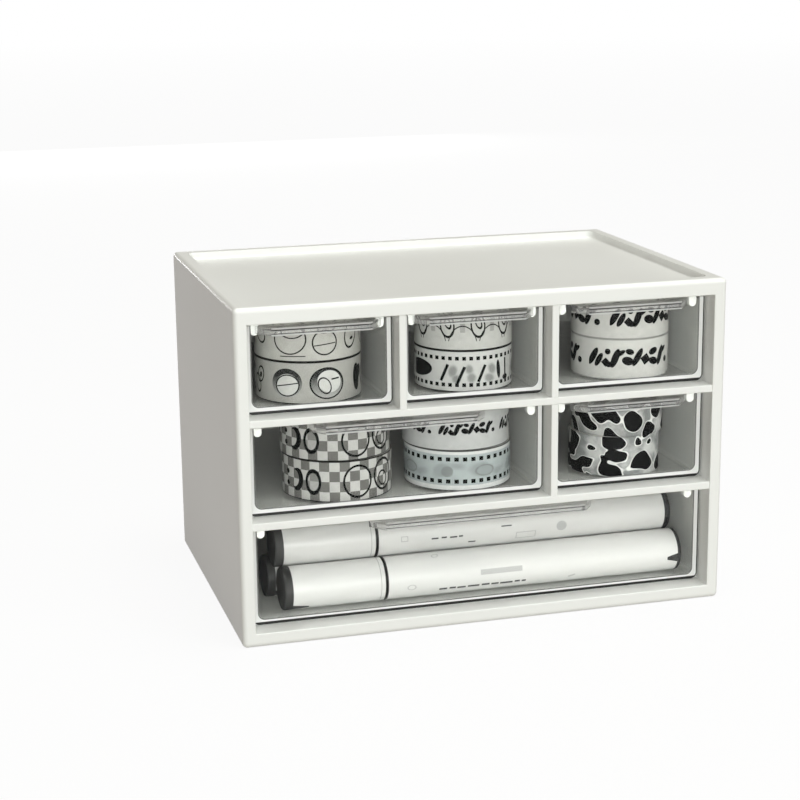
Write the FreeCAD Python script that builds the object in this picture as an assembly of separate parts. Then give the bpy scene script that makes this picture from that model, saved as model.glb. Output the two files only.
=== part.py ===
"""Desk-top drawer box for rolls of washi tape: a white cabinet with six clear drawers.

Frame: millimetres, +Z up, -Y is the open front, origin at the middle of the base.
"""
import FreeCAD
import Part
import math
import os

# ---- driving dimensions, in millimetres ----

# cabinet
cabinet_depth = 125.0
side_wall = 4.7
base_height = 5.1
top_height = 6.0
outer_round = 1.8
inner_round = 0.4
back_thickness = 2.4

# shelves and dividers
lower_shelf_thickness = 2.8
upper_shelf_thickness = 2.6
divider_thickness = 2.6
grid_setback = 0.4
grid_edge_round = 0.35

# tray in the top and hollow under the base, each inside a rim
rim_width = 5.2
tray_depth = 2.8
tray_corner_round = 3.0
tray_floor_round = 0.8
base_hollow_depth = 2.4

# drawers
drawer_recess = 8.0
drawer_wall = 1.5
drawer_side_gap = 0.5
drawer_floor_gap = 0.3
drawer_rear_gap = 2.0
drawer_inner_round = 0.9
front_head_gap = 1.8
side_head_gap = 2.8

# moulded pull along the top of each drawer front
pull_reach = 6.2
pull_drop = 2.8
pull_wall = 1.3
pull_slant = 5.0
pull_corner_round = 1.2
small_pull_width = 44.5
middle_pull_width = 64.0
bottom_pull_width = 84.0

# stop pegs that hang behind each drawer front and catch its rear wall
peg_width = 2.9
peg_depth = 2.5
peg_hang = 5.5
peg_side_gap = 0.95
peg_clearance = 0.3

# tape rolls, stacked in pairs
tape_width = 15.0
core_bore_radius = 13.5
core_wall = 1.4
roll_front_gap = 0.8
roll_edge_round = 0.25

# thickness of the tape left on the rolls of each stack
top_left_winding = 4.0
top_middle_winding = 2.9
top_right_winding = 3.1
middle_left_winding = 5.0
middle_centre_winding = 4.7
middle_right_winding = 2.0

# room between the stacks and the pegs at the sides of their bays
top_left_room_left = 2.45
top_left_room_right = 1.05
top_middle_room_left = 5.35
top_middle_room_right = 0.55
top_right_room_left = 10.35
top_right_room_right = 1.15
middle_centre_room_right = 0.55
middle_right_room_right = 4.45
middle_stacks_gap = 6.1

# small sideways shifts of the upper rolls on the lower ones
middle_left_shift = -0.5
middle_centre_shift = -0.6
middle_right_shift = 1.2

# room above the contents of each row
top_row_head_room = 1.4
middle_row_head_room = 2.0
bottom_row_head_room = 6.0

# markers in the bottom drawer
marker_radius = 7.8
marker_end_room = 18.6
marker_wall = 1.2
marker_cap_length = 37.0
marker_cap_plug_thickness = 3.2
marker_tail_plug_thickness = 1.6
marker_plug_insert = 6.0
marker_neck_length = 12.0
marker_neck_gap = 0.15
marker_joint_gap = 0.8
marker_spacing = 0.3
marker_tongue_width = 3.4
marker_tongue_tip = 1.2
marker_cap_tongue_length = 6.0
marker_tail_tongue_length = 4.2
marker_edge_round = 0.8
front_marker_start = 12.6
rear_marker_start = 9.6
upper_marker_start = 11.2

# how far the cutting shapes run past the faces that they cut
cut_margin = 1.0

# turn of the tongue at each end of a marker, in degrees downwards from the front
front_marker_turns = (50.0, 8.0)
rear_marker_turns = (42.0, -35.0)
upper_marker_turns = (150.0, -120.0)

# ---- places worked out from the sizes above ----

core_radius = core_bore_radius + core_wall
peg_reach = drawer_side_gap + drawer_wall + peg_side_gap + peg_width
top_left_radius = core_radius + top_left_winding
top_middle_radius = core_radius + top_middle_winding
top_right_radius = core_radius + top_right_winding
middle_left_radius = core_radius + middle_left_winding
middle_centre_radius = core_radius + middle_centre_winding
middle_right_radius = core_radius + middle_right_winding

# clear width of each column of bays, from left to right
left_column = 2 * (peg_reach + top_left_radius) + top_left_room_left + top_left_room_right
middle_column = 2 * (peg_reach + top_middle_radius) + top_middle_room_left + top_middle_room_right
right_column = 2 * (peg_reach + top_right_radius) + top_right_room_left + top_right_room_right
wide_column = left_column + divider_thickness + middle_column

# clear height of each row of bays, from the bottom up
marker_pitch = 2 * marker_radius + marker_spacing
marker_lift = math.sqrt(marker_pitch**2 - (marker_pitch / 2) ** 2)
drawer_floor_lift = drawer_floor_gap + drawer_wall
bottom_row = drawer_floor_lift + 2 * marker_radius + marker_lift + bottom_row_head_room
middle_row = drawer_floor_lift + 2 * tape_width + middle_row_head_room
top_row = drawer_floor_lift + 2 * tape_width + top_row_head_room

inner_width = wide_column + divider_thickness + right_column
cabinet_width = inner_width + 2 * side_wall
marker_length = inner_width - marker_end_room

front_y = -cabinet_depth / 2
rear_y = cabinet_depth / 2
back_panel_y = rear_y - back_thickness
grid_front_y = front_y + grid_setback
drawer_front_y = front_y + drawer_recess
drawer_inside_y = drawer_front_y + drawer_wall
drawer_rear_y = back_panel_y - drawer_rear_gap
peg_front_y = drawer_inside_y + peg_clearance

left_x = -inner_width / 2
divider_left_x = left_x + left_column
middle_x = divider_left_x + divider_thickness
divider_right_x = middle_x + middle_column
right_x = divider_right_x + divider_thickness

bottom_row_z = base_height
lower_shelf_z = bottom_row_z + bottom_row
middle_row_z = lower_shelf_z + lower_shelf_thickness
upper_shelf_z = middle_row_z + middle_row
top_row_z = upper_shelf_z + upper_shelf_thickness
ceiling_z = top_row_z + top_row
cabinet_height = ceiling_z + top_height

# each bay: left side, clear width, floor, clear height and the width of its drawer's pull
bays = {
    "top_left": (left_x, left_column, top_row_z, top_row, small_pull_width),
    "top_middle": (middle_x, middle_column, top_row_z, top_row, small_pull_width),
    "top_right": (right_x, right_column, top_row_z, top_row, small_pull_width),
    "middle_left": (left_x, wide_column, middle_row_z, middle_row, middle_pull_width),
    "middle_right": (right_x, right_column, middle_row_z, middle_row, small_pull_width),
    "bottom": (left_x, inner_width, bottom_row_z, bottom_row, bottom_pull_width),
}

# distance from the right side of the bay to the stack's axis, for each stack
top_left_inset = peg_reach + top_left_room_right + top_left_radius
top_middle_inset = peg_reach + top_middle_room_right + top_middle_radius
top_right_inset = peg_reach + top_right_room_right + top_right_radius
middle_centre_inset = peg_reach + middle_centre_room_right + middle_centre_radius
middle_left_inset = middle_centre_inset + middle_centre_radius + middle_stacks_gap + middle_left_radius
middle_right_inset = peg_reach + middle_right_room_right + middle_right_radius

# each stack: its drawer, the inset of its axis, its radius and the shift of its upper roll
stacks = {
    "top_left": ("top_left", top_left_inset, top_left_radius, 0.0),
    "top_middle": ("top_middle", top_middle_inset, top_middle_radius, 0.0),
    "top_right": ("top_right", top_right_inset, top_right_radius, 0.0),
    "middle_left": ("middle_left", middle_left_inset, middle_left_radius, middle_left_shift),
    "middle_centre": ("middle_left", middle_centre_inset, middle_centre_radius, middle_centre_shift),
    "middle_right": ("middle_right", middle_right_inset, middle_right_radius, middle_right_shift),
}


def box(x, y, z, width, depth, height):
    """A box from its low corner and its three sizes."""
    return Part.makeBox(width, depth, height, FreeCAD.Vector(x, y, z))


def rounded(shape, radius, wanted):
    """Round the edges of a shape for which wanted(edge) is true."""
    edges = [edge for edge in shape.Edges if wanted(edge)]
    return shape.makeFillet(radius, edges)


def same(first, second):
    """True for two lengths that differ only by rounding."""
    return abs(first - second) < 1e-6


def runs_along(edge, axis):
    """True for a straight edge along one axis: 0 is X, 1 is Y and 2 is Z."""
    ends = [vertex.Point for vertex in edge.Vertexes]
    if len(ends) != 2:
        return False
    change = ends[1] - ends[0]
    return all(same(change[other], 0) for other in range(3) if other != axis)


def at_height(edge, z):
    """True for an edge that lies level at height z."""
    return same(edge.BoundBox.ZMin, z) and same(edge.BoundBox.ZMax, z)


def prism(points, z, height):
    """An upright prism over a closed outline of (x, y) points."""
    corners = [FreeCAD.Vector(x, y, z) for x, y in points]
    outline = Part.makePolygon(corners + corners[:1])
    return Part.Face(outline).extrude(FreeCAD.Vector(0, 0, height))


def cylinder_z(x, y, z, radius, height):
    """An upright cylinder."""
    return Part.makeCylinder(radius, height, FreeCAD.Vector(x, y, z), FreeCAD.Vector(0, 0, 1))


def cylinder_x(x, y, z, radius, length):
    """A cylinder lying along X."""
    return Part.makeCylinder(radius, length, FreeCAD.Vector(x, y, z), FreeCAD.Vector(1, 0, 0))


# ---- cabinet ----

def rim_pocket(z, depth):
    """The pocket inside a rim, with its upright corners rounded."""
    width = cabinet_width - 2 * rim_width
    length = cabinet_depth - 2 * rim_width
    pocket = box(-width / 2, -length / 2, z, width, length, depth)
    return rounded(pocket, tray_corner_round, lambda edge: runs_along(edge, 2))


def on_opening_rim(edge):
    """True for the four edges where the sleeve's opening meets its front face."""
    spans = edge.BoundBox
    if not (same(spans.YMin, front_y) and same(spans.YMax, front_y)):
        return False
    beside = spans.XMin > left_x - inner_round and spans.XMax < -left_x + inner_round
    level = spans.ZMin > bottom_row_z - inner_round and spans.ZMax < ceiling_z + inner_round
    return beside and level


def cabinet_shell():
    """The one-piece sleeve with a tray on top and a hollow underneath."""
    block = box(-cabinet_width / 2, front_y, 0, cabinet_width, cabinet_depth, cabinet_height)
    block = block.makeFillet(outer_round, block.Edges)
    opening_depth = cabinet_depth + 2 * cut_margin
    opening_height = ceiling_z - bottom_row_z
    opening = box(left_x, front_y - cut_margin, bottom_row_z, inner_width, opening_depth, opening_height)
    tray_floor_z = cabinet_height - tray_depth
    tray = rim_pocket(tray_floor_z, tray_depth + cut_margin)
    tray = rounded(tray, tray_floor_round, lambda edge: at_height(edge, tray_floor_z))
    hollow = rim_pocket(-cut_margin, base_hollow_depth + cut_margin)
    shell = block.cut([opening, tray, hollow])
    return rounded(shell, inner_round, on_opening_rim)


def back_panel():
    """The flat panel that closes the rear of the sleeve."""
    return box(left_x, back_panel_y, bottom_row_z, inner_width, back_thickness, ceiling_z - bottom_row_z)


def grid_plate(x, z, width, height, axis):
    """A shelf or divider that runs back to the back panel, with its two long front edges rounded."""
    plate = box(x, grid_front_y, z, width, back_panel_y - grid_front_y, height)

    def front_edge(edge):
        return runs_along(edge, axis) and same(edge.BoundBox.YMax, grid_front_y)

    return rounded(plate, grid_edge_round, front_edge)


def shelf(z, thickness):
    """A full-width shelf between the side walls."""
    return grid_plate(left_x, z, inner_width, thickness, 0)


def divider(x, z, height):
    """An upright divider between two drawers of one row."""
    return grid_plate(x, z, divider_thickness, height, 2)


def stop_peg(x, ceiling):
    """A flat peg with a round tip, centred on x and hanging from a bay's ceiling."""
    tip_radius = peg_width / 2
    tip_z = ceiling - peg_hang + tip_radius
    shank = box(x - tip_radius, peg_front_y, tip_z, peg_width, peg_depth, ceiling - tip_z)
    tip_centre = FreeCAD.Vector(x, peg_front_y, tip_z)
    tip = Part.makeCylinder(tip_radius, peg_depth, tip_centre, FreeCAD.Vector(0, 1, 0))
    return shank.fuse(tip).removeSplitter()


def stop_pegs(names):
    """Two stop pegs in each named bay of a row."""
    inset = peg_reach - peg_width / 2
    pegs = []
    for name in names:
        x, width, z, height, _ = bays[name]
        pegs.append(stop_peg(x + inset, z + height))
        pegs.append(stop_peg(x + width - inset, z + height))
    return Part.makeCompound(pegs)


# ---- drawers ----

def trough(x, y, z, width, depth, height, radius):
    """A block whose two lower edges along Y are rounded."""
    block = box(x, y, z, width, depth, height)
    return rounded(block, radius, lambda edge: runs_along(edge, 1) and at_height(edge, z))


def pull(x, top_z, width):
    """A ledge with slanted ends and a turned-down rim, open underneath for the fingertips."""
    pull_front_y = drawer_front_y - pull_reach
    half = width / 2
    outline = [
        (x - half, drawer_front_y),
        (x - half + pull_slant, pull_front_y),
        (x + half - pull_slant, pull_front_y),
        (x + half, drawer_front_y),
    ]
    ledge = prism(outline, top_z - pull_drop, pull_drop)

    def front_corner(edge):
        return runs_along(edge, 2) and same(edge.BoundBox.YMax, pull_front_y)

    ledge = rounded(ledge, pull_corner_round, front_corner)
    half_inside = half - pull_wall * math.hypot(pull_slant, pull_reach) / pull_reach
    inner_slant = pull_slant * (pull_reach - pull_wall) / pull_reach
    inner_front_y = pull_front_y + pull_wall
    hollow_outline = [
        (x - half_inside, drawer_front_y),
        (x - half_inside + inner_slant, inner_front_y),
        (x + half_inside - inner_slant, inner_front_y),
        (x + half_inside, drawer_front_y),
    ]
    hollow_bottom_z = top_z - pull_drop - cut_margin
    hollow = prism(hollow_outline, hollow_bottom_z, top_z - pull_wall - hollow_bottom_z)
    return ledge.cut(hollow)


def drawer(name):
    """A clear open-topped drawer with its front plate and pull in one moulding."""
    bay_x, bay_width, bay_z, bay_height, pull_width = bays[name]
    x = bay_x + drawer_side_gap
    z = bay_z + drawer_floor_gap
    width = bay_width - 2 * drawer_side_gap
    depth = drawer_rear_y - drawer_front_y
    front_top_z = bay_z + bay_height - front_head_gap
    side_top_z = bay_z + bay_height - side_head_gap
    outer_radius = drawer_inner_round + drawer_wall
    tub = trough(x, drawer_front_y, z, width, depth, side_top_z - z, outer_radius)
    plate = trough(x, drawer_front_y, z, width, drawer_wall, front_top_z - z, outer_radius)
    inside_width = width - 2 * drawer_wall
    inside_depth = depth - 2 * drawer_wall
    inside_z = z + drawer_wall
    inside = trough(
        x + drawer_wall, drawer_inside_y, inside_z, inside_width, inside_depth, bay_height, drawer_inner_round
    )
    body = tub.cut(inside).fuse(plate)
    return body.fuse(pull(x + width / 2, front_top_z, pull_width)).removeSplitter()


# ---- tape rolls ----

def roll_place(stack, level):
    """Axis x and y, underside z and outer radius of one roll: level 0 is the lower one."""
    drawer_name, inset, radius, shift = stacks[stack]
    bay_x, bay_width, bay_z, _, _ = bays[drawer_name]
    x = bay_x + bay_width - inset + level * shift
    y = drawer_inside_y + roll_front_gap + radius
    z = bay_z + drawer_floor_lift + level * tape_width
    return x, y, z, radius


def ring(x, y, z, outer, inner):
    """An upright ring as wide as the tape, with its four rims slightly rounded."""
    band = cylinder_z(x, y, z, outer, tape_width).cut(cylinder_z(x, y, z, inner, tape_width))
    circles = [edge for edge in band.Edges if same(edge.BoundBox.ZMin, edge.BoundBox.ZMax)]
    return band.makeFillet(roll_edge_round, circles)


def tape(stack, level):
    """The wound tape of one roll."""
    x, y, z, radius = roll_place(stack, level)
    return ring(x, y, z, radius, core_radius)


def core(stack, level):
    """The card core of one roll."""
    x, y, z, _ = roll_place(stack, level)
    return ring(x, y, z, core_radius, core_bore_radius)


# ---- markers ----

def marker_places():
    """Left end, axis and tongue turns of each marker: two lie on the floor and one rests on them."""
    y = drawer_inside_y + marker_spacing + marker_radius
    z = bottom_row_z + drawer_floor_lift + marker_radius
    upper_y = y + marker_pitch / 2
    return {
        "front": (left_x + front_marker_start, y, z, front_marker_turns),
        "rear": (left_x + rear_marker_start, y + marker_pitch, z, rear_marker_turns),
        "upper": (left_x + upper_marker_start, upper_y, z + marker_lift, upper_marker_turns),
    }


def tube_x(x, y, z, outer, inner, length):
    """A tube lying along X."""
    return cylinder_x(x, y, z, outer, length).cut(cylinder_x(x, y, z, inner, length))


def tongue(x, y, z, bore, turn, length):
    """A tapered tongue in the wall of the tube, turned downwards about the marker's axis."""
    face_y = y - marker_radius - cut_margin
    half = marker_tongue_width / 2
    half_tip = marker_tongue_tip / 2
    corners = [
        FreeCAD.Vector(x, face_y, z - half),
        FreeCAD.Vector(x + length, face_y, z - half_tip),
        FreeCAD.Vector(x + length, face_y, z + half_tip),
        FreeCAD.Vector(x, face_y, z + half),
    ]
    wedge = Part.Face(Part.makePolygon(corners + corners[:1])).extrude(FreeCAD.Vector(0, marker_radius, 0))
    shape = wedge.common(tube_x(x, y, z, marker_radius, bore, length))
    return shape.rotate(FreeCAD.Vector(x, y, z), FreeCAD.Vector(1, 0, 0), turn)


def end_plug(x, y, z, bore, turn, thickness, tongue_length):
    """A stepped plug for the left end of a marker, with its tongue."""
    head = cylinder_x(x, y, z, marker_radius, thickness)
    rim = [edge for edge in head.Edges if same(edge.BoundBox.XMax, x)]
    head = head.makeFillet(marker_edge_round, rim)
    inner_x = x + thickness
    insert = cylinder_x(inner_x, y, z, bore, marker_plug_insert)
    return head.fuse([insert, tongue(inner_x, y, z, bore, turn, tongue_length)]).removeSplitter()


def marker(end_x, y, z, turns):
    """The cap, barrel and two end plugs of one marker that lies along X."""
    bore = marker_radius - marker_wall
    cap_x = end_x + marker_cap_plug_thickness
    cap_length = marker_cap_length - marker_cap_plug_thickness
    barrel_x = cap_x + cap_length + marker_joint_gap
    barrel_length = end_x + marker_length - marker_tail_plug_thickness - barrel_x
    cap_plug = end_plug(end_x, y, z, bore, turns[0], marker_cap_plug_thickness, marker_cap_tongue_length)
    tail_plug = end_plug(end_x, y, z, bore, turns[1], marker_tail_plug_thickness, marker_tail_tongue_length)
    tail_plug = tail_plug.mirror(FreeCAD.Vector(end_x + marker_length / 2, y, z), FreeCAD.Vector(1, 0, 0))

    cap = tube_x(cap_x, y, z, marker_radius, bore, cap_length).cut(cap_plug)
    barrel = tube_x(barrel_x, y, z, marker_radius, bore, barrel_length).cut(tail_plug)
    neck_radius = bore - marker_neck_gap
    neck_bore = neck_radius - marker_wall
    neck = tube_x(barrel_x - marker_neck_length, y, z, neck_radius, neck_bore, 2 * marker_neck_length)
    collar = tube_x(barrel_x, y, z, bore, neck_bore, marker_neck_length)
    barrel = barrel.fuse([neck, collar]).removeSplitter()
    return {"cap": cap, "barrel": barrel, "cap_plug": cap_plug, "tail_plug": tail_plug}


# ---- the whole object, one file per piece ----

def pieces():
    """Every separate piece, by name."""
    made = {
        "cabinet_shell": cabinet_shell(),
        "back_panel": back_panel(),
        "lower_shelf": shelf(lower_shelf_z, lower_shelf_thickness),
        "upper_shelf": shelf(upper_shelf_z, upper_shelf_thickness),
        "divider_top_left": divider(divider_left_x, top_row_z, top_row),
        "divider_top_right": divider(divider_right_x, top_row_z, top_row),
        "divider_middle": divider(divider_right_x, middle_row_z, middle_row),
        "stop_pegs_top": stop_pegs(["top_left", "top_middle", "top_right"]),
        "stop_pegs_middle": stop_pegs(["middle_left", "middle_right"]),
        "stop_pegs_bottom": stop_pegs(["bottom"]),
    }
    for name in bays:
        made["drawer_" + name] = drawer(name)
    for stack in stacks:
        for level, place in enumerate(("lower", "upper")):
            made["tape_" + stack + "_" + place] = tape(stack, level)
            made["core_" + stack + "_" + place] = core(stack, level)
    for name, place in marker_places().items():
        for piece, shape in marker(*place).items():
            made["marker_" + name + "_" + piece] = shape
    return made


os.makedirs("parts", exist_ok=True)
for node, shape in pieces().items():
    shape.exportStep("parts/" + node + ".step")
    print(node, "solids", len(shape.Solids), "valid", shape.isValid(), "volume %.0f" % shape.Volume)
print("size %.2f x %.2f x %.2f" % (cabinet_width, cabinet_depth, cabinet_height))
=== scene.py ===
import math

import bmesh
import bpy
from mathutils import Matrix, Vector


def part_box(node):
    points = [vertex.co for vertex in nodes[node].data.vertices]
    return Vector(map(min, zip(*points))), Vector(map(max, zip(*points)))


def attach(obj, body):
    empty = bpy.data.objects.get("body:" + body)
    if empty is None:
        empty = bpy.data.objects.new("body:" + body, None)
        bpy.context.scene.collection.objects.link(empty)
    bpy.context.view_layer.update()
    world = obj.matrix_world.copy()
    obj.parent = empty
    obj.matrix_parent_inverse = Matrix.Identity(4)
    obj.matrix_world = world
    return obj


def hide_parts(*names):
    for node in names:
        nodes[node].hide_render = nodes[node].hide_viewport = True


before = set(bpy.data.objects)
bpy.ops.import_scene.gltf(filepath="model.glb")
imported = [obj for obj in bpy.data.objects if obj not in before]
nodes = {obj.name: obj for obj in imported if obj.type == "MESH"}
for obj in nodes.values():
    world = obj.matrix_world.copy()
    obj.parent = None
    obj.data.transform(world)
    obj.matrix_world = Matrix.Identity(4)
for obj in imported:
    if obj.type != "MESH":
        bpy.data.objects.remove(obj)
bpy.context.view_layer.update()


# ---- cabinet shell ----
# The sleeve of the cabinet is one injection moulding in white ABS, open at the front, with
# a shallow tray in its top and a hollow under its base. The mould was spark-eroded, so the
# surface is satin, with a fine grain and the slow ripple of large flat walls.

MM = 0.001


def maths(operation, *terms, clamp=False):
    """A Math node on terms, at least one of which is a Shade."""
    tree = next(term.socket.id_data for term in terms if isinstance(term, Shade))
    node = tree.nodes.new("ShaderNodeMath")
    node.operation = operation
    node.use_clamp = clamp
    for slot, term in zip(node.inputs, terms):
        feed(slot, term)
    return Shade(node.outputs[0])


class Shade:
    """A socket of a material. Arithmetic on it adds Math nodes."""

    def __init__(self, socket):
        self.socket = socket

    def part(self, name):
        """Another output of the same node."""
        return Shade(self.socket.node.outputs[name])

    def __add__(self, other):
        return maths("ADD", self, other)

    __radd__ = __add__

    def __sub__(self, other):
        return maths("SUBTRACT", self, other)

    def __rsub__(self, other):
        return maths("SUBTRACT", other, self)

    def __mul__(self, other):
        return maths("MULTIPLY", self, other)

    __rmul__ = __mul__

    def __truediv__(self, other):
        return maths("DIVIDE", self, other)

    def __abs__(self):
        return maths("ABSOLUTE", self)

    def __mod__(self, other):
        return maths("FLOORED_MODULO", self, other)

    def __gt__(self, other):
        return maths("GREATER_THAN", self, other)

    def __lt__(self, other):
        return maths("LESS_THAN", self, other)

    def least(self, other):
        return maths("MINIMUM", self, other)

    def most(self, other):
        return maths("MAXIMUM", self, other)

    def ramp(self, low, high):
        """Runs from 0 at low to 1 at high, and stays there."""
        return maths("MULTIPLY_ADD", self, 1 / (high - low), -low / (high - low), clamp=True)

    def line_at(self, value, half, soft):
        """1 within half of a value, fading out over soft."""
        return abs(self - value).ramp(half + soft, half)


def feed(slot, term):
    """Link a socket to another, or give it a value."""
    if isinstance(term, Shade):
        slot.id_data.links.new(term.socket, slot)
    elif slot.type == "RGBA" and len(term) == 3:
        slot.default_value = (*term, 1)
    else:
        slot.default_value = term


class Finish:
    """The nodes of one material, or of a world."""

    def __init__(self, name, kind=bpy.data.materials):
        self.owner = kind.new(name)
        self.owner.use_nodes = True
        self.tree = self.owner.node_tree
        self.tree.nodes.clear()

    def node(self, kind, settings, sockets, out=0):
        """Add a node: its settings first, then the values or links of its sockets."""
        node = self.tree.nodes.new("ShaderNode" + kind)
        for name, value in settings.items():
            setattr(node, name, value)
        for name, value in sockets.items():
            feed(node.inputs[name], value)
        return Shade(node.outputs[out]) if node.outputs else None

    def spot(self):
        """Where a point lies on the object, in metres."""
        return self.node("TexCoord", {}, {}, "Object")

    def axes(self, spot):
        """The three coordinates of a spot."""
        first = self.node("SeparateXYZ", {}, {0: spot})
        return first, first.part("Y"), first.part("Z")

    def mix(self, share, first, second):
        """A colour that goes from first to second as share goes from 0 to 1."""
        return self.node("Mix", {"data_type": "RGBA"}, {0: share, 6: first, 7: second}, 2)

    def noise(self, spot, scale, detail=2.0):
        return self.node("TexNoise", {}, {"Vector": spot, "Scale": scale, "Detail": detail})

    def bump(self, height, depth):
        return self.node("Bump", {}, {"Height": height, "Distance": depth})

    def plastic(self, sockets):
        return self.node("BsdfPrincipled", {}, sockets)

    def end(self, shader, output="OutputMaterial"):
        """Send a shader to the surface."""
        self.node(output, {}, {"Surface": shader})
        return self.owner


def satin_abs(name):
    finish = Finish(name)
    spot = finish.spot()
    drift = finish.noise(spot, 11.0)
    grain = finish.noise(spot, 2600.0)
    ripple = finish.noise(spot, 34.0)
    return finish.end(finish.plastic({
        "Base Color": finish.mix(drift.ramp(0.3, 0.7), (0.88, 0.885, 0.86), (0.91, 0.917, 0.895)),
        "Roughness": 0.27 + drift * 0.08 + grain * 0.06,
        "IOR": 1.53,
        "Specular IOR Level": 0.32,
        "Normal": finish.bump(ripple * 0.6 + grain * 0.03, 0.06 * MM),
    }))


cabinet_white = satin_abs("cabinet_white_abs")
nodes["cabinet_shell"].material_slots[0].material = cabinet_white


# ---- back panel, shelves, dividers and stop pegs ----
# Flat mouldings in the same white ABS. The shelves and dividers stand in the sleeve and
# stop against the back panel, and pegs with round tips hang behind each drawer front.

for node in ("back_panel", "lower_shelf", "upper_shelf", "divider_top_left", "divider_top_right",
             "divider_middle", "stop_pegs_top", "stop_pegs_middle", "stop_pegs_bottom"):
    nodes[node].material_slots[0].material = cabinet_white


# ---- drawers ----
# Six open-topped drawers, each with its front plate and pull in one moulding of clear
# polystyrene. The front ends of the 1.5 mm walls and the pull are painted pale, as painted
# glow, sheen and highlights, and fine lines of painted shade outline them. Inside are the
# scuffs that rolls and markers leave.

def clear_styrene(name, place, painted_glow_floor):
    """Clear plastic for the drawer in a place; the last argument is the height in mm of the painted
    glow along its floor's front.
    """
    finish = Finish(name)
    low, high = place
    wall = 1.5  # the thickness of the walls; this and all that follows is in millimetres
    plate = 6.2  # from the front of the pull back to the face of the plate
    corner = 2.4  # the rounding of the plate's lower corners
    spot = finish.spot()
    x, y, z = finish.axes(spot)
    from_side = ((high.x - low.x) / 2 - abs(x - (low.x + high.x) / 2)) / MM
    back = (y - low.y) / MM
    up = (z - low.z) / MM
    down = (high.z - z) / MM

    def inside(side, floor):
        """How far a spot lies inside the plate's rim, or inside a line set in from it."""
        beside = (side + corner - from_side).most(0.0)
        below = (floor + corner - up).most(0.0)
        return corner - maths("SQRT", beside * beside + below * below)

    # the plate's face: painted glow on the ends of the walls, and lines of painted shade inside
    # them and at the rim
    on_plate = back.ramp(plate + 0.45, plate + 0.35)
    past_wall = inside(wall + 0.6, painted_glow_floor)
    painted_wall_end_glow = past_wall.ramp(0.0, -0.1) * on_plate
    painted_rim_shade = inside(0.0, 0.0).ramp(0.46, 0.36).most(up.ramp(1.05, 0.95))
    outline = (past_wall.line_at(0.0, 0.16, 0.1) * 0.85).most(painted_rim_shade) * on_plate
    # a band of painted glow along the tops of the walls
    painted_wall_top_glow = down.line_at(1.0, 0.04, 0.04) * back.ramp(plate + wall, plate + wall + 0.1)

    # the pull: a painted sheen all over, painted highlights on two edges of its lip and two lines
    # of painted shade on it
    on_pull = back.ramp(plate, plate - 0.1)
    lip = back.ramp(0.7, 0.5)
    painted_lip_highlights = down.ramp(0.6, 0.5).most(down.ramp(2.3, 2.4)) * lip
    painted_lip_shade_lines = down.line_at(0.8, 0.14, 0.08).most(down.line_at(2.05, 0.12, 0.08)) * lip

    flow = finish.noise(spot, 55.0)
    scuff = finish.noise(spot, 900.0)
    clear = finish.plastic({
        "Base Color": (0.965, 0.962, 0.952),
        "Roughness": scuff.ramp(0.45, 0.8) * 0.08 + 0.015,
        "IOR": 1.15,
        "Transmission Weight": 1.0,
        "Normal": finish.bump(flow, 0.12 * MM),
    })
    # the pale colour of the painted glow, greyer on the pull as painted sheen
    painted_glow_colour = finish.mix(on_pull * 0.6, (0.92, 0.92, 0.91), (0.40, 0.40, 0.40))
    # a pale surface standing for the plastic's glow, sheen and highlights, with lines of painted
    # shade
    painted_glow_and_shade = finish.plastic({
        "Base Color": finish.mix(outline.most(painted_lip_shade_lines), painted_glow_colour, (0.01, 0.01, 0.01)),
        "Roughness": 0.25 + scuff * 0.1,
    })
    # how far the painted glow, highlights and shade cover the clear plastic
    share = (painted_wall_end_glow * 0.94).most(outline * 0.96).most(painted_wall_top_glow * 0.55)
    share = share.most(on_pull * 0.28).most(painted_lip_highlights * 0.85).most(painted_lip_shade_lines * 0.75)
    clear_with_painted_light = finish.node("MixShader", {}, {0: share, 1: clear, 2: painted_glow_and_shade})
    lamp_light = finish.node("BsdfTransparent", {}, {"Color": (0.96, 0.96, 0.95)})
    from_lamp = finish.node("LightPath", {}, {}, "Is Shadow Ray")
    return finish.end(finish.node("MixShader", {}, {0: from_lamp, 1: clear_with_painted_light, 2: lamp_light}))


for bay, painted_glow_floor in (("top_left", 2.5), ("top_middle", 2.5), ("top_right", 2.5),
                        ("middle_left", 2.5), ("middle_right", 2.5), ("bottom", 1.9)):
    node = "drawer_" + bay
    styrene = clear_styrene(node + "_styrene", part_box(node), painted_glow_floor)
    nodes[node].material_slots[0].material = styrene


# ---- card cores ----
# Each roll is wound on a tube of grey-white card, rolled from several plies. The bore
# shows the spiral joint of the inner ply, and the ends show the plies edge on.

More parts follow.
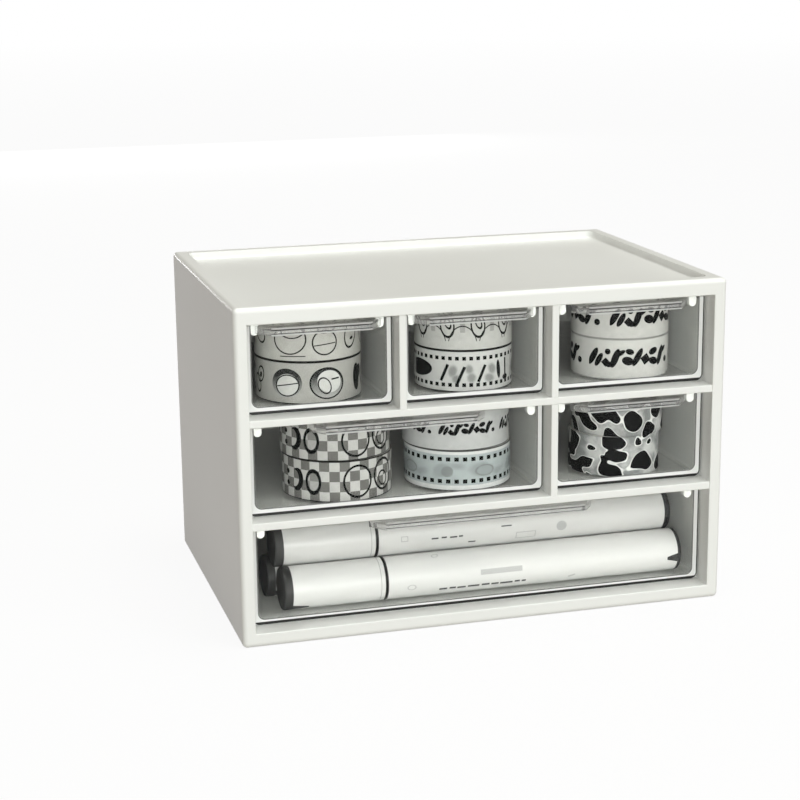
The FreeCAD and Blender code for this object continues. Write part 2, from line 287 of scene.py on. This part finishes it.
def turned_ring(place, inner, outer, rim_round, start, step):
    """An upright ring in the middle of a box, whose outside steps in by step at the angle start."""
    low, high = place
    middle = (low + high) / 2
    bm = bmesh.new()
    outline = ((inner, low.z), (outer, low.z), (outer, high.z), (inner, high.z))
    corners = [bm.verts.new((middle.x + radius, middle.y, z)) for radius, z in outline]
    edges = [bm.edges.new(pair) for pair in zip(corners, corners[1:] + corners[:1])]
    joint = 0.004  # the angle in which the outside steps back to where it started
    spun = bmesh.ops.spin(bm, geom=corners + edges, cent=middle, axis=(0, 0, 1),
                          angle=math.tau - joint, steps=120, use_duplicate=False)
    last = [part for part in spun["geom_last"] if isinstance(part, bmesh.types.BMEdge)]
    bmesh.ops.bridge_loops(bm, edges=edges + last)
    for vert in bm.verts:
        out = (vert.co - middle) * Vector((1, 1, 0))
        if out.length > (inner + outer) / 2:
            turn = math.atan2(out.y, out.x) % math.tau
            vert.co -= out.normalized() * step * turn / math.tau
    bmesh.ops.rotate(bm, cent=middle, matrix=Matrix.Rotation(start, 3, "Z"), verts=bm.verts)
    # the rims run level, at one distance from the axis
    reach = {vert: (vert.co - middle).xy.length for vert in bm.verts}
    rims = [edge for edge in bm.edges
            if abs(edge.verts[0].co.z - edge.verts[1].co.z) < 0.01 * MM
            and abs(reach[edge.verts[0]] - reach[edge.verts[1]]) < 0.5 * MM]
    bmesh.ops.bevel(bm, geom=rims, offset=rim_round, segments=2, profile=0.5,
                    affect="EDGES", material=-1)
    bmesh.ops.recalc_face_normals(bm, faces=bm.faces)
    return bm


def wrap_round(bm, place, side_radius, front):
    """Millimetres round the ring from the angle front and up it, or out from its axis on the ends.

    The ends take the second material, and the faces at side_radius take the first."""
    low, high = place
    middle = (low + high) / 2
    bm.normal_update()
    layer = bm.loops.layers.uv.new("wrap")
    for face in bm.faces:
        out = face.calc_center_median() - middle
        heading = math.atan2(out.y, out.x)
        from_front = (heading - front + math.pi) % math.tau - math.pi
        on_end = abs(face.normal.z) > 0.96  # the bevels of the rims count as side
        face.material_index = int(on_end or abs(out.xy.length - side_radius) > 0.4 * MM)
        for loop in face.loops:
            spot = loop.vert.co - middle
            turn = (math.atan2(spot.y, spot.x) - heading + math.pi) % math.tau - math.pi
            height = spot.xy.length if on_end else loop.vert.co.z - low.z
            loop[layer].uv = ((from_front + turn) * side_radius / MM, height / MM)


def finished(bm, name, body, node, finishes):
    """Make the piece of a finished mesh, which rides on a body and stands for a CAD node."""
    mesh = bpy.data.meshes.new(name)
    bm.to_mesh(mesh)
    bm.free()
    for finish in finishes:
        mesh.materials.append(finish)
    mesh.shade_smooth()
    mesh.set_sharp_from_angle(angle=math.radians(35))
    piece = bpy.data.objects.new(name, mesh)
    bpy.context.scene.collection.objects.link(piece)
    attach(piece, body)
    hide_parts(node)


def wrapped_spot(finish):
    return finish.node("UVMap", {"uv_map": "wrap"}, {})


def card_side(name):
    finish = Finish(name)
    spot = wrapped_spot(finish)
    along, height, _ = finish.axes(spot)
    slant, pitch = 1.7, 42.0
    joint = ((along + height * slant) % pitch).line_at(pitch / 2, 0.10, 0.12)
    fibre = finish.noise(spot, 1.9, 4.0)
    colour = finish.mix(fibre.ramp(0.3, 0.7), (0.50, 0.465, 0.40), (0.60, 0.57, 0.50))
    return finish.end(finish.plastic({
        "Base Color": finish.mix(joint, colour, (0.30, 0.27, 0.22)),
        "Roughness": 0.8 + fibre * 0.1,
        "Normal": finish.bump(fibre * 0.3 - joint, 0.1 * MM),
    }))


def card_end(name):
    finish = Finish(name)
    spot = wrapped_spot(finish)
    _, out, _ = finish.axes(spot)
    ply_thickness = 0.35
    between = abs((out % ply_thickness) - ply_thickness / 2).ramp(0.13, 0.17)
    fibre = finish.noise(spot, 6.0, 3.0)
    colour = finish.mix(fibre.ramp(0.3, 0.7), (0.46, 0.43, 0.37), (0.58, 0.55, 0.49))
    return finish.end(finish.plastic({
        "Base Color": finish.mix(between * 0.6, colour, (0.30, 0.27, 0.23)),
        "Roughness": 0.9,
        "Normal": finish.bump(fibre * 0.5 - between, 0.06 * MM),
    }))


# the body that each stack of two rolls rides on
stacks = {
    "top_left": "top_left_drawer",
    "top_middle": "top_middle_drawer",
    "top_right": "top_right_drawer",
    "middle_left": "middle_left_drawer",
    "middle_centre": "middle_left_drawer",
    "middle_right": "middle_right_drawer",
}
FRONT = -math.pi / 2  # the heading of the open front
core_finishes = [card_side("core_card_bore"), card_end("core_card_end")]
core_wall = 1.4 * MM
for stack, body in stacks.items():
    for level in ("lower", "upper"):
        node = f"core_{stack}_{level}"
        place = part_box(node)
        outer = (place[1].x - place[0].x) / 2
        bore = outer - core_wall
        bm = turned_ring(place, bore, outer, 0.15 * MM, 0.0, 0.0)
        wrap_round(bm, place, bore, FRONT)
        finished(bm, f"card_core_{stack}_{level}", body, node, core_finishes)


# ---- tape rolls ----
# Washi tape, 15 mm wide, wound on the cores. The outside carries the print, and on the
# sides the layers lie edge on. The free end of the tape makes a fine step in the outside.

BLACK = (0.002, 0.002, 0.002)
tape_width = 15.0


def turned_spot(finish, spot, centre, tilt=0.0, scale=(1.0, 1.0)):
    """A spot seen from a centre, in axes that are tilted and in units of the scale."""
    return finish.node("Mapping", {"vector_type": "TEXTURE"}, {
        "Vector": spot, "Location": (*centre, 0), "Rotation": (0, 0, tilt), "Scale": (*scale, 1)})


def oval(finish, spot, centre, radii, tilt=0.0, line=0.0):
    """Millimetres outside an oval, or outside its outline where it has a line width."""
    local = turned_spot(finish, spot, centre, tilt, radii)
    reach = finish.node("VectorMath", {"operation": "LENGTH"}, {0: local}, "Value")
    outside = (reach - 1) * min(radii)
    return abs(outside) - line / 2 if line else outside


def bar(finish, spot, centre, sizes, tilt=0.0, line=0.0):
    """Millimetres outside a bar of a half width and half height, or outside its outline."""
    across, up, _ = finish.axes(turned_spot(finish, spot, centre, tilt))
    outside = (abs(across) - sizes[0]).most(abs(up) - sizes[1])
    return abs(outside) - line / 2 if line else outside


def repeat(finish, spot, period):
    """The spot within one repeat of a print, which runs half a period to each side of 0."""
    along, height, _ = finish.axes(spot)
    return finish.node("CombineXYZ", {}, {
        0: (along + period / 2) % period - period / 2, 1: height})


def inked(finish, spot, marks, soft=0.06, spread=0.0):
    """1 on the marks and 0 off them, with edges of the given softness and spread of the ink."""
    outside = None
    for shape, *sizes in marks:
        here = shape(finish, spot, *sizes)
        outside = here if outside is None else outside.least(here)
    return outside.ramp(spread + soft, spread - soft)


def printed(name, draw, girth, edge_shade_depth):
    """Tape with a print: draw gives its colour from the spot on it, in millimetres.

    The print repeats evenly in the roll's girth. Painted shade darkens the cut edges, black at 1."""
    finish = Finish(name)
    spot = wrapped_spot(finish)
    mottle = finish.noise(spot, 0.35, 3.0)
    stretched = finish.node("Mapping", {}, {"Vector": spot, "Scale": (3.0, 0.5, 1.0)})
    fibre = finish.noise(stretched, 1.6, 3.0)
    _, height, _ = finish.axes(spot)
    # painted shade: the cut edges darken towards black, as in the seam between rolls
    painted_edge_shade = height.ramp(0.5, 0.35).most(height.ramp(tape_width - 0.5, tape_width - 0.35))
    colour = finish.mix(painted_edge_shade * edge_shade_depth, draw(finish, spot, girth), BLACK)
    wear = mottle.ramp(0.35, 0.75) * 0.12 + fibre.ramp(0.4, 0.7) * 0.08
    return finish.end(finish.plastic({
        "Base Color": finish.node("VectorMath", {"operation": "SCALE"}, {
            0: colour, "Scale": 1.04 - wear}),
        "Roughness": 0.42 + fibre * 0.16,
        "Specular IOR Level": 0.05,
        "Normal": finish.bump(fibre, 0.05 * MM),
    }))


def wound_edges(name, dark):
    """The layers of tape seen edge on, with the print's ink showing as darker lines."""
    finish = Finish(name)
    along, out, _ = finish.axes(wrapped_spot(finish))
    rings = finish.node("CombineXYZ", {}, {0: along * 0.02, 1: out})
    layers = finish.noise(rings, 5.5, 3.0)
    fine = finish.noise(rings, 22.0, 1.0)
    paper = (0.66, 0.645, 0.60)
    ink = (0.66 * dark, 0.65 * dark, 0.63 * dark)
    return finish.end(finish.plastic({
        "Base Color": finish.mix((layers * 0.7 + fine * 0.3).ramp(0.42, 0.62), paper, ink),
        "Roughness": 0.75,
        "Normal": finish.bump(layers + fine * 0.4, 0.12 * MM),
    }))


def outlined_pebbles(finish, spot, girth):
    cell = repeat(finish, spot, girth / 2)
    shadow = inked(finish, cell, [
        (oval, (-9.6, 7.2), (4.4, 3.2), 0.3),
        (oval, (14.0, 6.8), (2.0, 3.0), -0.25),
        (oval, (-22.0, 5.6), (2.6, 1.8), 0.2),
    ])
    lines = inked(finish, cell, [
        (oval, (-10.6, 8.0), (5.8, 5.2), 0.12, 0.45),
        (oval, (-9.6, 11.0), (4.2, 2.6), 0.1, 0.4),
        (bar, (-9.6, 2.0), (4.6, 0.16), 0.03),
        (oval, (1.9, 6.7), (4.4, 4.3), 0.0, 0.5),
        (bar, (1.9, 6.0), (4.0, 0.18), 0.09),
        (oval, (2.8, 12.0), (3.4, 1.8), 0.25, 0.4),
        (oval, (13.2, 8.4), (3.0, 4.8), -0.25, 0.5),
        (oval, (13.6, 6.8), (0.9, 0.55), 0.4),
        (oval, (-24.2, 9.4), (2.6, 4.0), 0.5, 0.45),
        (oval, (24.8, 7.4), (4.8, 4.4), -0.2, 0.45),
        (bar, (24.8, 8.2), (4.4, 0.18), -0.12),
    ])
    ground = finish.mix(shadow * 0.35, (0.42, 0.415, 0.388), (0.40, 0.39, 0.37))
    return finish.mix(lines, ground, BLACK)


def shaded_pebbles(finish, spot, girth):
    cell = repeat(finish, spot, girth / 2)
    _, height, _ = finish.axes(spot)
    shade = finish.mix(height.ramp(2.5, 10.0), (0.33, 0.33, 0.32), (0.02, 0.02, 0.02))
    rings = inked(finish, cell, [
        (oval, (-12.1, 7.4), (5.7, 5.2), 0.15),
        (oval, (2.6, 7.2), (6.2, 5.4), -0.12),
        (oval, (26.0, 7.2), (5.2, 4.8), 0.2),
    ])
    stones = inked(finish, cell, [
        (oval, (-11.8, 6.8), (4.3, 3.9), 0.2),
        (oval, (3.4, 7.8), (4.5, 3.9), -0.3),
        (oval, (26.2, 7.6), (3.9, 3.4), 0.2),
    ])
    lines = inked(finish, cell, [
        (oval, (-11.8, 6.6), (4.3, 3.7), 0.2, 0.42),
        (bar, (-11.8, 6.9), (4.0, 0.2), 0.18),
        (oval, (2.6, 7.2), (6.2, 5.4), -0.12, 0.5),
        (oval, (1.6, 6.4), (2.1, 3.0), 0.5, 0.4),
        (bar, (5.6, 8.6), (1.5, 0.28), 0.1),
        (oval, (26.0, 7.2), (5.2, 4.8), 0.2, 0.45),
        (oval, (16.6, 7.4), (2.2, 4.9), 0.05),
        (oval, (18.4, 9.0), (1.9, 2.6), -0.4),
        (oval, (-24.4, 9.2), (1.9, 2.8), -0.3, 0.45),
        (oval, (-24.3, 9.0), (0.7, 1.1), -0.3),
        (oval, (-26.4, 5.8), (1.8, 3.2), 0.2, 0.42),
    ])
    colour = finish.mix(rings, (0.33, 0.325, 0.306), shade)
    colour = finish.mix(stones, colour, (0.50, 0.50, 0.483))
    return finish.mix(lines, colour, BLACK)


def arches(finish, spot, girth):
    period = girth / 10
    cell = repeat(finish, spot, period)
    _, height, _ = finish.axes(spot)
    bars = inked(finish, cell, [
        (bar, (period / 2, 9.2), (0.9, 2.6)),
        (bar, (-period / 2, 9.2), (0.9, 2.6)),
    ])
    arcs = inked(finish, cell, [
        (oval, (period / 2, 1.5), (5.2, 7.4), 0.0, 0.3),
        (oval, (-period / 2, 1.5), (5.2, 7.4), 0.0, 0.3),
    ]) * (height > 3.4)
    loops = inked(finish, cell, [
        (oval, (0.0, 9.0), (2.5, 4.1), 0.12, 0.55),
        (oval, (0.2, 9.8), (1.0, 1.9), 0.4, 0.45),
    ])
    colour = finish.mix(bars * 0.55, (0.45, 0.448, 0.428), (0.18, 0.18, 0.176))
    return finish.mix(arcs.most(loops), colour, BLACK)


def film_strip(finish, spot, girth):
    holes = inked(finish, repeat(finish, spot, girth / 44), [
        (bar, (0.0, 12.2), (0.68, 0.68)),
        (bar, (0.0, 2.6), (0.68, 0.68)),
    ])
    cell = repeat(finish, spot, girth / 2)
    washes = inked(finish, cell, [
        (oval, (-9.2, 7.6), (1.5, 2.1), -0.3),
        (oval, (-8.0, 4.8), (1.4, 1.5), 0.4),
        (oval, (-3.2, 8.3), (1.3, 1.6), 0.2),
        (oval, (-2.4, 5.2), (1.5, 1.7), -0.2),
        (oval, (4.4, 4.8), (1.9, 1.5), -0.2),
        (oval, (5.6, 8.0), (1.5, 1.9), 0.3),
        (oval, (21.0, 7.0), (3.2, 2.8), 0.1),
    ], soft=0.5)
    solids = inked(finish, cell, [
        (oval, (-24.6, 7.6), (7.2, 3.1), 0.04),
        (bar, (-12.3, 7.0), (0.55, 3.3), -0.42),
        (bar, (-6.2, 6.2), (0.55, 3.3), -0.42),
        (bar, (1.4, 6.6), (0.55, 3.3), -0.42),
        (oval, (8.6, 7.4), (0.9, 3.4), 0.1),
        (bar, (12.4, 7.0), (0.45, 4.0), 0.03),
        (oval, (12.4, 4.0), (1.5, 1.0)),
        (bar, (17.2, 7.4), (0.22, 3.9)),
    ])
    colour = finish.mix(washes * 0.8, (0.46, 0.458, 0.446), (0.17, 0.175, 0.17))
    return finish.mix(holes.most(solids), colour, BLACK)


def ornaments(finish, spot, size, base, period):
    """A row of bold slanted leaves, pebbles and diamonds, 1 on the ink and 0 off it."""
    scaled = turned_spot(finish, spot, (0.0, base), scale=(size, size))
    return inked(finish, repeat(finish, scaled, period / size), [
        (oval, (-17.0, 8.3), (1.15, 3.4), -0.5),
        (oval, (-14.7, 7.2), (1.0, 2.6), -0.5),
        (bar, (-12.0, 6.4), (1.2, 1.2), 0.785),
        (oval, (-11.3, 10.4), (1.0, 1.0)),
        (oval, (-8.5, 8.0), (1.2, 3.5), -0.35),
        (oval, (-6.7, 9.8), (0.8, 1.9), -1.0),
        (oval, (-10.0, 5.8), (0.8, 1.7), -1.0),
        (oval, (-3.9, 7.0), (2.1, 1.5), -0.3),
        (oval, (-3.2, 10.4), (1.5, 1.0), -0.3),
        (oval, (-0.2, 8.3), (1.15, 3.4), -0.5),
        (bar, (3.0, 7.4), (1.5, 1.5), 0.6),
        (oval, (6.4, 10.0), (1.9, 1.2), 0.3),
        (oval, (6.6, 6.4), (2.1, 1.3), -0.3),
        (oval, (10.2, 8.0), (1.2, 3.5), -0.35),
        (oval, (12.0, 9.8), (0.8, 1.9), -1.0),
        (oval, (14.0, 6.0), (1.1, 1.1)),
    ], spread=0.08)


def bold_marks(finish, spot, girth):
    marks = ornaments(finish, spot, 1.0, 0.0, girth / 3)
    return finish.mix(marks, (0.49, 0.485, 0.465), BLACK)


def small_marks(finish, spot, girth):
    marks = ornaments(finish, spot, 0.64, 2.8, girth / 5)
    return finish.mix(marks, (0.435, 0.44, 0.435), BLACK)


def checkerboard(finish, spot, girth):
    squares = finish.node("Mapping", {}, {
        "Vector": spot, "Location": (0.0, 0.0, 0.5), "Scale": (34 / girth, 4 / tape_width, 1.0)})
    board = finish.node("TexChecker", {}, {
        "Vector": squares, "Color1": (0.45, 0.445, 0.43), "Color2": (0.138, 0.135, 0.128),
        "Scale": 1.0})
    cell = repeat(finish, spot, girth / 2)
    grey = inked(finish, cell, [(oval, (-13.4, 7.2), (2.6, 4.0))])
    lines = inked(finish, cell, [
        (oval, (3.0, 7.3), (5.2, 5.7), 0.0, 0.75),
        (oval, (14.8, 8.0), (4.8, 5.6), 0.1, 0.8),
        (oval, (14.4, 6.6), (2.2, 2.7), 0.5, 0.55),
        (oval, (-13.4, 7.2), (2.6, 4.0), 0.0, 1.0),
        (oval, (-25.6, 9.4), (0.9, 0.9)),
        (oval, (-25.6, 5.2), (0.9, 0.9)),
        (oval, (26.0, 7.4), (3.6, 5.2), -0.15, 0.7),
    ])
    crescent = inked(finish, cell, [(oval, (-20.3, 7.3), (2.8, 4.2), -0.1)])
    hollow = inked(finish, cell, [(oval, (-21.7, 7.5), (2.2, 3.1), -0.1)])
    colour = finish.mix(grey * 0.5, board, (0.25, 0.25, 0.24))
    return finish.mix(lines.most(crescent * (1 - hollow)), colour, BLACK)


def pale_film(finish, spot, girth):
    _, height, _ = finish.axes(spot)
    band = height.ramp(2.0, 2.2) * height.ramp(13.6, 13.4)
    holes = inked(finish, repeat(finish, spot, girth / 40), [
        (bar, (0.0, 11.8), (0.8, 0.75)),
        (bar, (0.0, 3.6), (0.8, 0.75)),
    ])
    cell = repeat(finish, spot, girth / 4)
    washes = inked(finish, cell, [
        (oval, (-11.5, 7.6), (3.6, 2.4), 0.35),
        (oval, (-6.0, 9.2), (2.6, 1.0), -0.1),
        (oval, (3.4, 7.6), (5.0, 2.6), -0.1),
        (oval, (10.6, 6.4), (2.8, 1.2), 0.2),
    ], soft=0.6)
    darker = inked(finish, cell, [
        (oval, (-9.6, 7.2), (2.2, 2.0), 0.2),
        (oval, (4.6, 7.2), (3.6, 1.9), 0.0, 0.4),
    ])
    colour = finish.mix(band, (0.56, 0.565, 0.56), (0.35, 0.384, 0.384))
    colour = finish.mix(washes * 0.6, colour, (0.20, 0.22, 0.22))
    colour = finish.mix(darker * 0.7, colour, (0.16, 0.17, 0.17))
    return finish.mix(holes, colour, BLACK)


def cow_spots(finish, spot, girth):
    """Spots that run on from one roll to the next, so they follow the place and not the roll."""
    here = finish.spot()
    drift = finish.node("TexNoise", {}, {"Vector": here, "Scale": 90.0, "Detail": 1.0}, "Color")
    swayed = finish.node("VectorMath", {"operation": "MULTIPLY_ADD"}, {
        0: drift, 1: (0.010, 0.010, 0.010), 2: here})
    wide = finish.node("Mapping", {}, {"Vector": swayed, "Scale": (1.0, 1.0, 1.35)})
    reach = finish.node("TexVoronoi", {"feature": "SMOOTH_F1"}, {
        "Vector": wide, "Scale": 135.0, "Smoothness": 0.5, "Randomness": 1.0}, "Distance")
    cloud = finish.noise(here, 160.0, 3.0)
    ground = finish.mix(cloud.ramp(0.40, 0.60), (0.21, 0.218, 0.216), (0.46, 0.46, 0.45))
    edged = finish.mix(reach.ramp(0.541, 0.529), ground, (0.66, 0.66, 0.645))
    return finish.mix(reach.ramp(0.500, 0.490), edged, BLACK)


# for each roll: its print, how far that is turned, where the free end lies, how dark the painted
# shade on its cut edges is
prints = {
    "top_left_lower": (shaded_pebbles, 0.0, 2.4, 1.0),
    "top_left_upper": (outlined_pebbles, 0.0, 1.9, 1.0),
    "top_middle_lower": (film_strip, 0.0, 0.30, 1.0),
    "top_middle_upper": (arches, 0.0, 2.2, 1.0),
    "top_right_lower": (bold_marks, 0.0, 2.0, 0.4),
    "top_right_upper": (bold_marks, 0.45, 1.4, 0.4),
    "middle_left_lower": (checkerboard, 0.0, 2.8, 1.0),
    "middle_left_upper": (checkerboard, 0.0, 1.7, 1.0),
    "middle_centre_lower": (pale_film, 0.0, 0.9, 0.9),
    "middle_centre_upper": (small_marks, 0.0, 2.6, 0.9),
    "middle_right_lower": (cow_spots, 0.0, 2.1, 0.15),
    "middle_right_upper": (cow_spots, 0.0, 1.2, 0.15),
}
pale_edges = wound_edges("tape_edges_pale", 0.75)
dark_edges = wound_edges("tape_edges_dark", 0.35)
for roll, (draw, turn, free_end, edge_shade_depth) in prints.items():
    stack = roll.rsplit("_", 1)[0]
    node = "tape_" + roll
    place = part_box(node)
    outer = (place[1].x - place[0].x) / 2
    core_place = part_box("core_" + roll)
    inner = (core_place[1].x - core_place[0].x) / 2
    bm = turned_ring(place, inner, outer, 0.2 * MM, free_end, 0.12 * MM)
    wrap_round(bm, place, outer, FRONT + turn)
    paper = printed("tape_print_" + roll, draw, math.tau * outer / MM, edge_shade_depth)
    edges = dark_edges if draw in (cow_spots, checkerboard) else pale_edges
    finished(bm, "washi_roll_" + roll, stacks[stack], node, [paper, edges])


# ---- markers ----
# Three art markers with white polypropylene barrels and caps. A black plug closes each
# end, with a tongue that points along the barrel, and painted shade makes a dark ring at the
# cap's joint.

def marker_white(name, place, print_turn, lightness_and_shade, tail_ring, dashes, badges):
    """White plastic for a marker's cap and barrel, where the barrel with its neck is in a place."""
    finish = Finish(name)
    low, high = place
    middle = (low + high) / 2
    radius = (high.z - low.z) / 2 / MM
    neck_length = 12.0
    spot = finish.spot()
    x, y, z = finish.axes(spot)
    along = (x - low.x) / MM - neck_length
    depth = (y - middle.y) / MM
    height = (z - middle.z) / MM
    from_axis = maths("SQRT", height * height + depth * depth)
    around = maths("ARCTAN2", height, -1 * depth) * radius
    flat = finish.node("CombineXYZ", {}, {0: along, 1: around - print_turn * radius})
    dash = inked(finish, flat, [(bar, centre, sizes) for centre, sizes in dashes])
    badge = inked(finish, flat, badges)

    # dark are the ring at the cap's joint, the neck and a line on the cap, all painted shade of the
    # joint's gap, and the ring at the tail
    tail = (high.x - low.x) / MM - neck_length - tail_ring
    dark = along.line_at(0.1, 0.25, 0.1).most(from_axis.ramp(radius - 0.8, radius - 0.9))
    dark = dark.most(along.ramp(tail, tail + 0.1)).most(along.line_at(-2.3, 0.08, 0.08) * 0.5)
    cloud = finish.noise(spot, 25.0)
    colour = finish.mix(cloud.ramp(0.3, 0.7), (lightness_and_shade, lightness_and_shade, lightness_and_shade * 0.985),
                        (lightness_and_shade * 1.08, lightness_and_shade * 1.07, lightness_and_shade * 1.05))
    colour = finish.mix(badge * 0.4, colour, (0.10, 0.10, 0.105))
    colour = finish.mix(dash, colour, (0.03, 0.03, 0.03))
    return finish.end(finish.plastic({
        "Base Color": finish.mix(dark, colour, (0.010, 0.010, 0.010)),
        "Roughness": 0.28 + cloud * 0.08,
        "IOR": 1.49,
        "Normal": finish.bump(cloud, 0.04 * MM),
    }))


def marker_black(name):
    finish = Finish(name)
    spot = finish.spot()
    grain = finish.noise(spot, 1500.0)
    worn = finish.noise(spot, 260.0, 3.0)
    return finish.end(finish.plastic({
        "Base Color": finish.mix(worn.ramp(0.4, 0.7), (0.022, 0.022, 0.022), (0.045, 0.045, 0.044)),
        "Roughness": 0.46 + grain * 0.12,
        "Specular IOR Level": 0.22,
        "Normal": finish.bump(grain, 0.03 * MM),
    }))


plug_black = marker_black("marker_plug_black")
# each dash: its middle, along the barrel and round it, then half its length and half its height
long_line = [((21.0, 0.0), (1.5, 0.46)), ((24.6, 0.1), (1.2, 0.46)), ((28.0, -0.1), (1.6, 0.46)),
             ((32.6, 0.0), (2.2, 0.46)), ((37.2, 0.1), (1.5, 0.46)), ((40.8, 0.0), (1.4, 0.46)),
             ((45.2, -0.1), (2.4, 0.46)), ((49.4, 0.1), (1.0, 0.46)), ((51.9, 0.0), (0.8, 0.46))]
short_line = [((21.5, 0.0), (1.3, 0.3)), ((25.0, 0.1), (1.0, 0.3)), ((28.6, -0.1), (1.4, 0.3)),
              ((31.4, 0.0), (0.8, 0.3)), ((35.8, -2.9), (1.4, 0.3)), ((49.0, 2.2), (2.0, 0.25))]
front_badges = [(bar, (43.0, 5.4), (8.0, 1.0)), (oval, (19.0, 14.0), (1.2, 0.8), 0.3, 0.3),
                (oval, (9.0, 2.2), (1.5, 1.0), 0.0, 0.3), (bar, (70.6, 0.0), (1.4, 0.4), 0.3)]
upper_badges = [(bar, (56.6, -2.1), (3.7, 1.3), 0.0, 0.35), (oval, (70.5, 0.2), (2.0, 1.9)),
                (bar, (10.0, 0.9), (1.2, 0.9), 0.0, 0.3)]
# for each marker: how far its print is turned, how light its white is, darker on the upper
# marker as painted shade from the shelf above, how wide the dark ring at its tail is, then
# its dashes and its badges
barrels = {
    "front": (-0.55, 0.60, 0.0, long_line, front_badges),
    "rear": (0.4, 0.56, 0.0, long_line, front_badges),
    # the upper marker's white is set darker as painted shade from the shelf above it
    "upper": (-0.1, 0.50, 0.9, short_line, upper_badges),
}
for marker, looks in barrels.items():
    white = marker_white(f"marker_white_{marker}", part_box(f"marker_{marker}_barrel"), *looks)
    for piece, finish in (("cap", white), ("barrel", white),
                          ("cap_plug", plug_black), ("tail_plug", plug_black)):
        nodes[f"marker_{marker}_{piece}"].material_slots[0].material = finish


# ---- floor, lamps and camera ----
# A plain white floor under a pale room, with soft lamps overhead, in front, on the right and
# low behind. The camera stands a little left of the front and looks slightly down.

def seen_directly(finish, mirrored=True):
    """1 on rays from the camera, also by way of glass and gloss, and 0 on light that bounced."""
    rays = finish.node("LightPath", {}, {})
    passed = rays.part("Is Transmission Ray")
    if mirrored:
        passed = passed.most(rays.part("Is Glossy Ray"))
    return rays.part("Is Camera Ray").most(passed * (rays.part("Diffuse Depth") < 0.5))


def white_floor(name):
    """Plain white to the eye, whiter still far off, and a dull warm grey to bounced light."""
    finish = Finish(name)
    seen = seen_directly(finish)
    colour = finish.mix(seen, (0.26, 0.225, 0.185), (0.90, 0.90, 0.90))
    lit = finish.node("BsdfDiffuse", {}, {"Color": colour})
    plain = finish.node("Emission", {}, {"Color": (1.0, 1.0, 1.0), "Strength": 1.0})
    away = finish.node("VectorMath", {"operation": "LENGTH"}, {0: finish.spot()}, "Value")
    share = 0.92 + away.ramp(0.5, 4.0) * 0.08
    return finish.end(finish.node("MixShader", {}, {0: seen * share, 1: lit, 2: plain}))


bm = bmesh.new()
bmesh.ops.create_circle(bm, cap_ends=True, radius=30.0, segments=96)
mesh = bpy.data.meshes.new("floor")
bm.to_mesh(mesh)
bm.free()
mesh.materials.append(white_floor("floor_white"))
floor = bpy.data.objects.new("floor", mesh)
bpy.context.scene.collection.objects.link(floor)


def softbox(name, spot, aim, width, height, power, colour):
    """A large rectangular lamp at a spot, turned to aim at another."""
    lamp = bpy.data.lights.new(name, "AREA")
    lamp.shape = "RECTANGLE"
    lamp.size = width
    lamp.size_y = height
    lamp.energy = power
    lamp.color = colour
    holder = bpy.data.objects.new(name, lamp)
    holder.location = spot
    holder.rotation_euler = (Vector(aim) - Vector(spot)).to_track_quat("-Z", "Y").to_euler()
    holder.visible_camera = False
    bpy.context.scene.collection.objects.link(holder)


middle = (0.0, 0.0, 0.06)
softbox("overhead", (0.2, -0.2, 1.9), (0.0, 0.0, 0.1), 1.1, 1.0, 22.2, (0.98, 1.0, 0.96))
softbox("front", (-0.32, -1.97, 0.35), middle, 1.4, 0.8, 25.3, (0.96, 1.0, 0.99))
softbox("right", (1.0, -1.15, 0.9), middle, 0.8, 0.6, 6.6, (0.95, 1.0, 0.99))
softbox("behind", (0.0, 1.6, 0.1), middle, 1.0, 0.14, 4.0, (1.0, 1.0, 1.0))


def pale_room(name):
    """A white room to the eye, and a dim warm one to the light that bounces."""
    finish = Finish(name, bpy.data.worlds)
    seen = seen_directly(finish, mirrored=False)
    dim = finish.node("Background", {}, {"Color": (1.0, 0.86, 0.73), "Strength": 0.155})
    white = finish.node("Background", {}, {"Color": (1.0, 1.0, 1.0), "Strength": 1.0})
    return finish.end(finish.node("MixShader", {}, {0: seen, 1: dim, 2: white}), "OutputWorld")


bpy.context.scene.world = pale_room("room")

camera = bpy.data.cameras.new("camera")
camera.lens = 84.4
camera.clip_end = 100.0
stand = bpy.data.objects.new("camera", camera)
turned_right, looking_down, leaning = 0.2732, 0.2415, -0.0109
aimed = Matrix.Rotation(-turned_right, 4, "Z") @ Matrix.Rotation(math.pi / 2 - looking_down, 4, "X")
stand.rotation_euler = (aimed @ Matrix.Rotation(leaning, 4, "Z")).to_euler()
stand.location = (-0.2021, -0.6681, 0.2400)
bpy.context.scene.collection.objects.link(stand)
bpy.context.scene.camera = stand
bpy.context.scene.view_settings.view_transform = "Standard"
